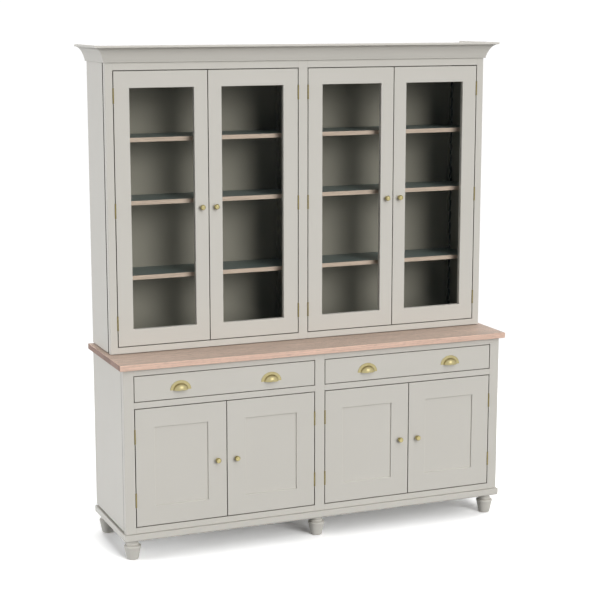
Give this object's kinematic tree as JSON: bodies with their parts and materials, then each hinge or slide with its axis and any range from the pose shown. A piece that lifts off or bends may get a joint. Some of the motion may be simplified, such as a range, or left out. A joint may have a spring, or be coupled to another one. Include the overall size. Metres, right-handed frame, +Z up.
{
  "type": "kitchen dresser",
  "caption": "Kitchen dresser: a glazed shelf rack under a moulded cornice, standing on a base with an oak worktop, drawers, panelled cupboard doors and turned feet.",
  "frame": {"origin": "centre of the footprint at floor level", "axes": "+Z up, the front with its doors and drawers faces -Y, +X to the right of someone who faces it"},
  "size_m": [1.9296, 0.513, 2.222],
  "materials": {
    "paint": "satin warm grey paint",
    "interior": "matt olive grey paint",
    "oak": "limed oak, open grain",
    "drawer_wood": "oiled pale wood",
    "brass": "satin aged brass",
    "glass": "clear flat glass"
  },
  "bodies": {
    "carcass": {"foot_front_left": "paint", "foot_front_middle": "paint", "foot_front_right": "paint", "foot_back_left": "paint", "foot_back_middle": "paint", "foot_back_right": "paint", "base_plinth": "paint", "base_side_left": "paint", "base_side_right": "paint", "base_partition": "interior", "base_floor": "interior", "base_back": "interior", "base_face_frame": "paint", "worktop": "oak", "rack_side_left": "paint", "rack_side_right": "paint", "rack_partition": "interior", "rack_floor": "interior", "rack_top": "interior", "rack_back": "interior", "rack_face_frame": "paint", "cornice": "paint", "shelf_left_lower": "oak", "shelf_left_middle": "oak", "shelf_left_upper": "oak", "shelf_right_lower": "oak", "shelf_right_middle": "oak", "shelf_right_upper": "oak"},
    "rack_door_left_outer": {"rack_door_left_outer_frame": "paint", "rack_door_left_outer_glass": "glass", "rack_door_left_outer_knob": "brass"},
    "rack_door_left_inner": {"rack_door_left_inner_frame": "paint", "rack_door_left_inner_glass": "glass", "rack_door_left_inner_knob": "brass"},
    "rack_door_right_inner": {"rack_door_right_inner_frame": "paint", "rack_door_right_inner_glass": "glass", "rack_door_right_inner_knob": "brass"},
    "rack_door_right_outer": {"rack_door_right_outer_frame": "paint", "rack_door_right_outer_glass": "glass", "rack_door_right_outer_knob": "brass"},
    "base_door_left_outer": {"base_door_left_outer_frame": "paint", "base_door_left_outer_panel": "paint", "base_door_left_outer_knob": "brass"},
    "base_door_left_inner": {"base_door_left_inner_frame": "paint", "base_door_left_inner_panel": "paint", "base_door_left_inner_knob": "brass"},
    "base_door_right_inner": {"base_door_right_inner_frame": "paint", "base_door_right_inner_panel": "paint", "base_door_right_inner_knob": "brass"},
    "base_door_right_outer": {"base_door_right_outer_frame": "paint", "base_door_right_outer_panel": "paint", "base_door_right_outer_knob": "brass"},
    "drawer_left": {"drawer_left_front": "paint", "drawer_left_box": "drawer_wood", "drawer_left_pull_left": "brass", "drawer_left_pull_right": "brass"},
    "drawer_right": {"drawer_right_front": "paint", "drawer_right_box": "drawer_wood", "drawer_right_pull_left": "brass", "drawer_right_pull_right": "brass"}
  },
  "joints": [
    {"name": "rack_door_left_outer_hinge", "type": "hinge", "parent": "carcass", "child": "rack_door_left_outer", "pos_m": [-0.87625, -0.0365, 1.5155], "axis": [0, 0, -1], "range_deg": [0, 170]},
    {"name": "rack_door_left_inner_hinge", "type": "hinge", "parent": "carcass", "child": "rack_door_left_inner", "pos_m": [-0.02375, -0.0365, 1.5155], "axis": [0, 0, 1], "range_deg": [0, 88]},
    {"name": "rack_door_right_inner_hinge", "type": "hinge", "parent": "carcass", "child": "rack_door_right_inner", "pos_m": [0.02375, -0.0365, 1.5155], "axis": [0, 0, -1], "range_deg": [0, 88]},
    {"name": "rack_door_right_outer_hinge", "type": "hinge", "parent": "carcass", "child": "rack_door_right_outer", "pos_m": [0.87625, -0.0365, 1.5155], "axis": [0, 0, 1], "range_deg": [0, 170]},
    {"name": "base_door_left_outer_hinge", "type": "hinge", "parent": "carcass", "child": "base_door_left_outer", "pos_m": [-0.86675, -0.2325, 0.4165], "axis": [0, 0, -1], "range_deg": [0, 170]},
    {"name": "base_door_left_inner_hinge", "type": "hinge", "parent": "carcass", "child": "base_door_left_inner", "pos_m": [-0.02525, -0.2325, 0.4165], "axis": [0, 0, 1], "range_deg": [0, 88]},
    {"name": "base_door_right_inner_hinge", "type": "hinge", "parent": "carcass", "child": "base_door_right_inner", "pos_m": [0.02525, -0.2325, 0.4165], "axis": [0, 0, -1], "range_deg": [0, 88]},
    {"name": "base_door_right_outer_hinge", "type": "hinge", "parent": "carcass", "child": "base_door_right_outer", "pos_m": [0.86675, -0.2325, 0.4165], "axis": [0, 0, 1], "range_deg": [0, 170]},
    {"name": "drawer_left_slide", "type": "slide", "parent": "carcass", "child": "drawer_left", "axis": [0, -1, 0], "range_m": [0, 0.32]},
    {"name": "drawer_right_slide", "type": "slide", "parent": "carcass", "child": "drawer_right", "axis": [0, -1, 0], "range_m": [0, 0.32]}
  ]
}
